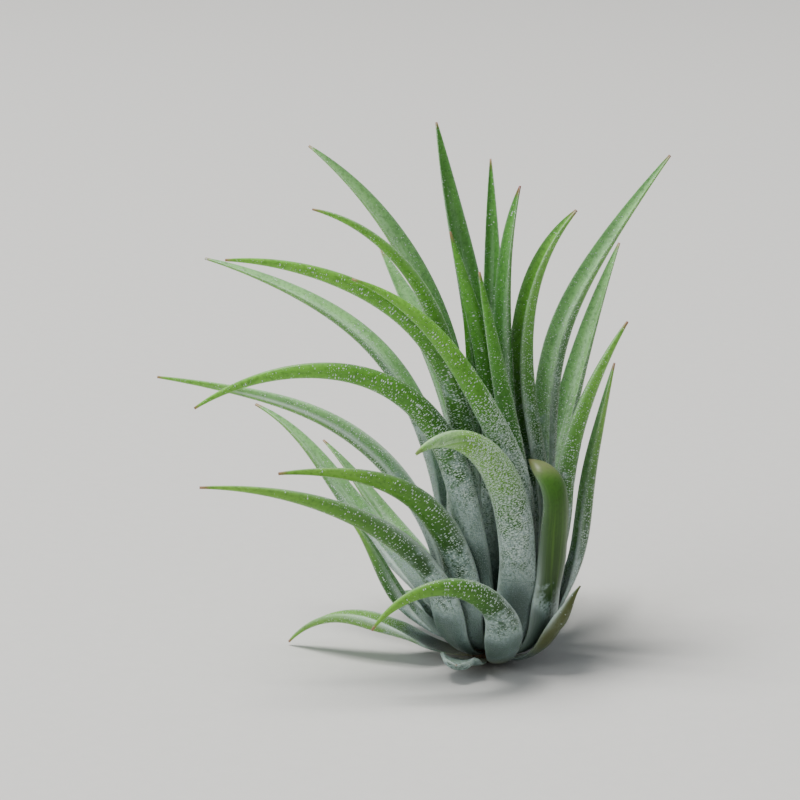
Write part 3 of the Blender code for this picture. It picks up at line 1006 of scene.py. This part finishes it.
        one = self.one_scale()
        mesh = self.copies(one, self.count)
        template = np.array([vertex.co for vertex in one.vertices])
        length = template[None, :, 0:1] * (size * self.length)[:, None]
        breadth = template[None, :, 1:2] * (size * self.length)[:, None]
        height = template[None, :, 2:3] * (size * self.lift + self.sunk)[:, None] - self.sunk
        placed = (points[:, None] + ahead[:, None] * length + side[:, None] * breadth
                  + normal[:, None] * height)
        placed[..., 2] = np.maximum(placed[..., 2], 0)
        mesh.vertices.foreach_set("co", placed.astype(np.float32).ravel())
        reach = self.worn_outer_blade if outermost else self.worn_blade
        worn = 1 - rising(blade + self.worn_spread * random.normal(0, 1, self.count), 0, reach)
        attribute = mesh.attributes.new("worn", "FLOAT", "POINT")
        attribute.data.foreach_set("value", np.repeat(worn, len(template)).astype(np.float32))
        mesh.update()
        mesh.name = self.form.leaf.name + "_scales"
        mesh.materials.clear()
        mesh.materials.append(self.finish)
        return put_in_scene(mesh.name, mesh)


@dataclass
class Rosette:
    """All the leaves, with their scales."""

    bulb: Bulb = Bulb()
    finishes: tuple[LeafFinish, ...] = (
        LeafFinish(Slot.YOUNG, flesh=(0.050, 0.20, 0.020), shaded=(0.012, 0.058, 0.008),
                   fresh_and_sunlit=(0.12, 0.36, 0.04), channel=(0.10, 0.31, 0.05)),
        LeafFinish(Slot.GROWN, flesh=(0.052, 0.20, 0.018), shaded=(0.012, 0.054, 0.008),
                   fresh_and_sunlit=(0.18, 0.46, 0.05), channel=(0.24, 0.50, 0.18)),
        LeafFinish(Slot.OUTER, flesh=(0.055, 0.19, 0.018), shaded=(0.014, 0.054, 0.010),
                   fresh_and_sunlit=(0.20, 0.45, 0.05), channel=(0.20, 0.41, 0.15)),
    )

    def build(self) -> None:
        """Builds every leaf in place of its plain solid."""
        skins = {finish.slot: finish.material() for finish in self.finishes}
        silver = ScaleFinish().material()
        for number, leaf in enumerate(LEAVES):
            form = LeafForm(leaf, self.bulb)
            skin = LeafSkin(form, skins[leaf.slot()]).build()
            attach(skin, BODY)
            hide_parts(leaf.name)
            leaf.slot().value
            coat = ScaleCoat(form, silver, seed=SEED + 10 * number)
            scales = coat.build()
            if scales is not None:
                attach(scales, BODY)
                leaf.slot().value
            log.info("%s: %d faces, %d scales", leaf.name, len(skin.data.polygons), coat.count)


@dataclass
class Stem:
    """The stem keeps its own solid, with a woody surface."""

    node: str = "stem"
    finish: StemFinish = StemFinish()

    def dress(self) -> None:
        """Gives the stem's own solid its material."""
        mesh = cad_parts[self.node].data
        mesh.materials.clear()
        mesh.materials.append(self.finish.material())
        log.info("%s: dressed", self.node)


@dataclass(frozen=True)
class Lamp:
    """A square soft light: its place and side in metres, its power in watts and its tint."""

    name: str
    place: tuple[float, float, float]
    size: float
    power: float
    colour: Colour

    def hang(self, aim: Vector) -> None:
        """Adds the light to the scene, facing the aim."""
        light = bpy.data.lights.new(self.name, "AREA")
        light.size = self.size
        light.energy = self.power
        light.color = self.colour
        holder = put_in_scene(self.name, light)
        holder.location = self.place
        holder.rotation_euler = (aim - Vector(self.place)).to_track_quat("-Z", "Y").to_euler()


@dataclass
class Studio:
    """A pale floor, soft lights and the camera."""

    floor_radius: float = 6.0
    floor_colour: Colour = (0.62, 0.61, 0.59)
    grain_scale: float = 400
    grain_shade: float = 0.94
    world_colour: Colour = (0.80, 0.84, 0.90)
    world_strength: float = 0.34
    light_aim: tuple[float, float, float] = (0, 0, 35 * MM)
    lamps: tuple[Lamp, ...] = (
        Lamp("key", (-0.7, 0.1, 2.4), 1.0, 104.0, (1.0, 0.99, 0.96)),
        Lamp("fill", (-1.7, -1.2, 1.2), 1.4, 22.0, (0.93, 0.98, 1.0)),
    )
    camera_aim: tuple[float, float, float] = (-14.72 * MM, 10.60 * MM, 39.56 * MM)
    camera_distance: float = 430 * MM
    camera_rise: float = math.radians(15)
    sensor: float = 36.0
    lens: float = 120.9

    def floor(self) -> None:
        """Lays the floor just under the plant."""
        disc = bmesh.new()
        bmesh.ops.create_circle(disc, cap_ends=True, segments=64, radius=self.floor_radius)
        mesh = finished(disc, "floor")
        graph = Graph("floor_paper")
        grain = graph.noise(graph.object_point(), self.grain_scale, 4)
        tint = tuple(self.grain_shade * value for value in self.floor_colour)
        graph.surface(Base_Color=graph.mix(grain, tint, self.floor_colour), Roughness=0.85)
        mesh.materials.append(graph.material)
        piece = put_in_scene("floor", mesh)

    def camera(self) -> None:
        """Sets the camera in front of the plant, a little above it."""
        lens = bpy.data.cameras.new("camera")
        lens.sensor_width = self.sensor
        lens.lens = self.lens
        lens.clip_start = 0.01
        holder = put_in_scene("camera", lens)
        back = Vector((0, -math.cos(self.camera_rise), math.sin(self.camera_rise)))
        holder.location = Vector(self.camera_aim) + back * self.camera_distance
        holder.rotation_euler = (math.pi / 2 - self.camera_rise, 0, 0)
        bpy.context.scene.camera = holder

    def build(self) -> None:
        """Puts up the floor, the lights, the sky's light and the camera."""
        world = bpy.data.worlds.new("studio")
        world.use_nodes = True
        sky = world.node_tree.nodes["Background"]
        sky.inputs["Color"].default_value = (*self.world_colour, 1)
        sky.inputs["Strength"].default_value = self.world_strength
        bpy.context.scene.world = world
        self.floor()
        for lamp in self.lamps:
            lamp.hang(Vector(self.light_aim))
        self.camera()


def main() -> None:
    """Builds the studio, the stem and the rosette, in that order."""
    logging.basicConfig(level=logging.INFO, format="%(name)s: %(message)s")
    Studio().build()
    Stem().dress()
    Rosette().build()


if __name__ == "__main__":
    main()
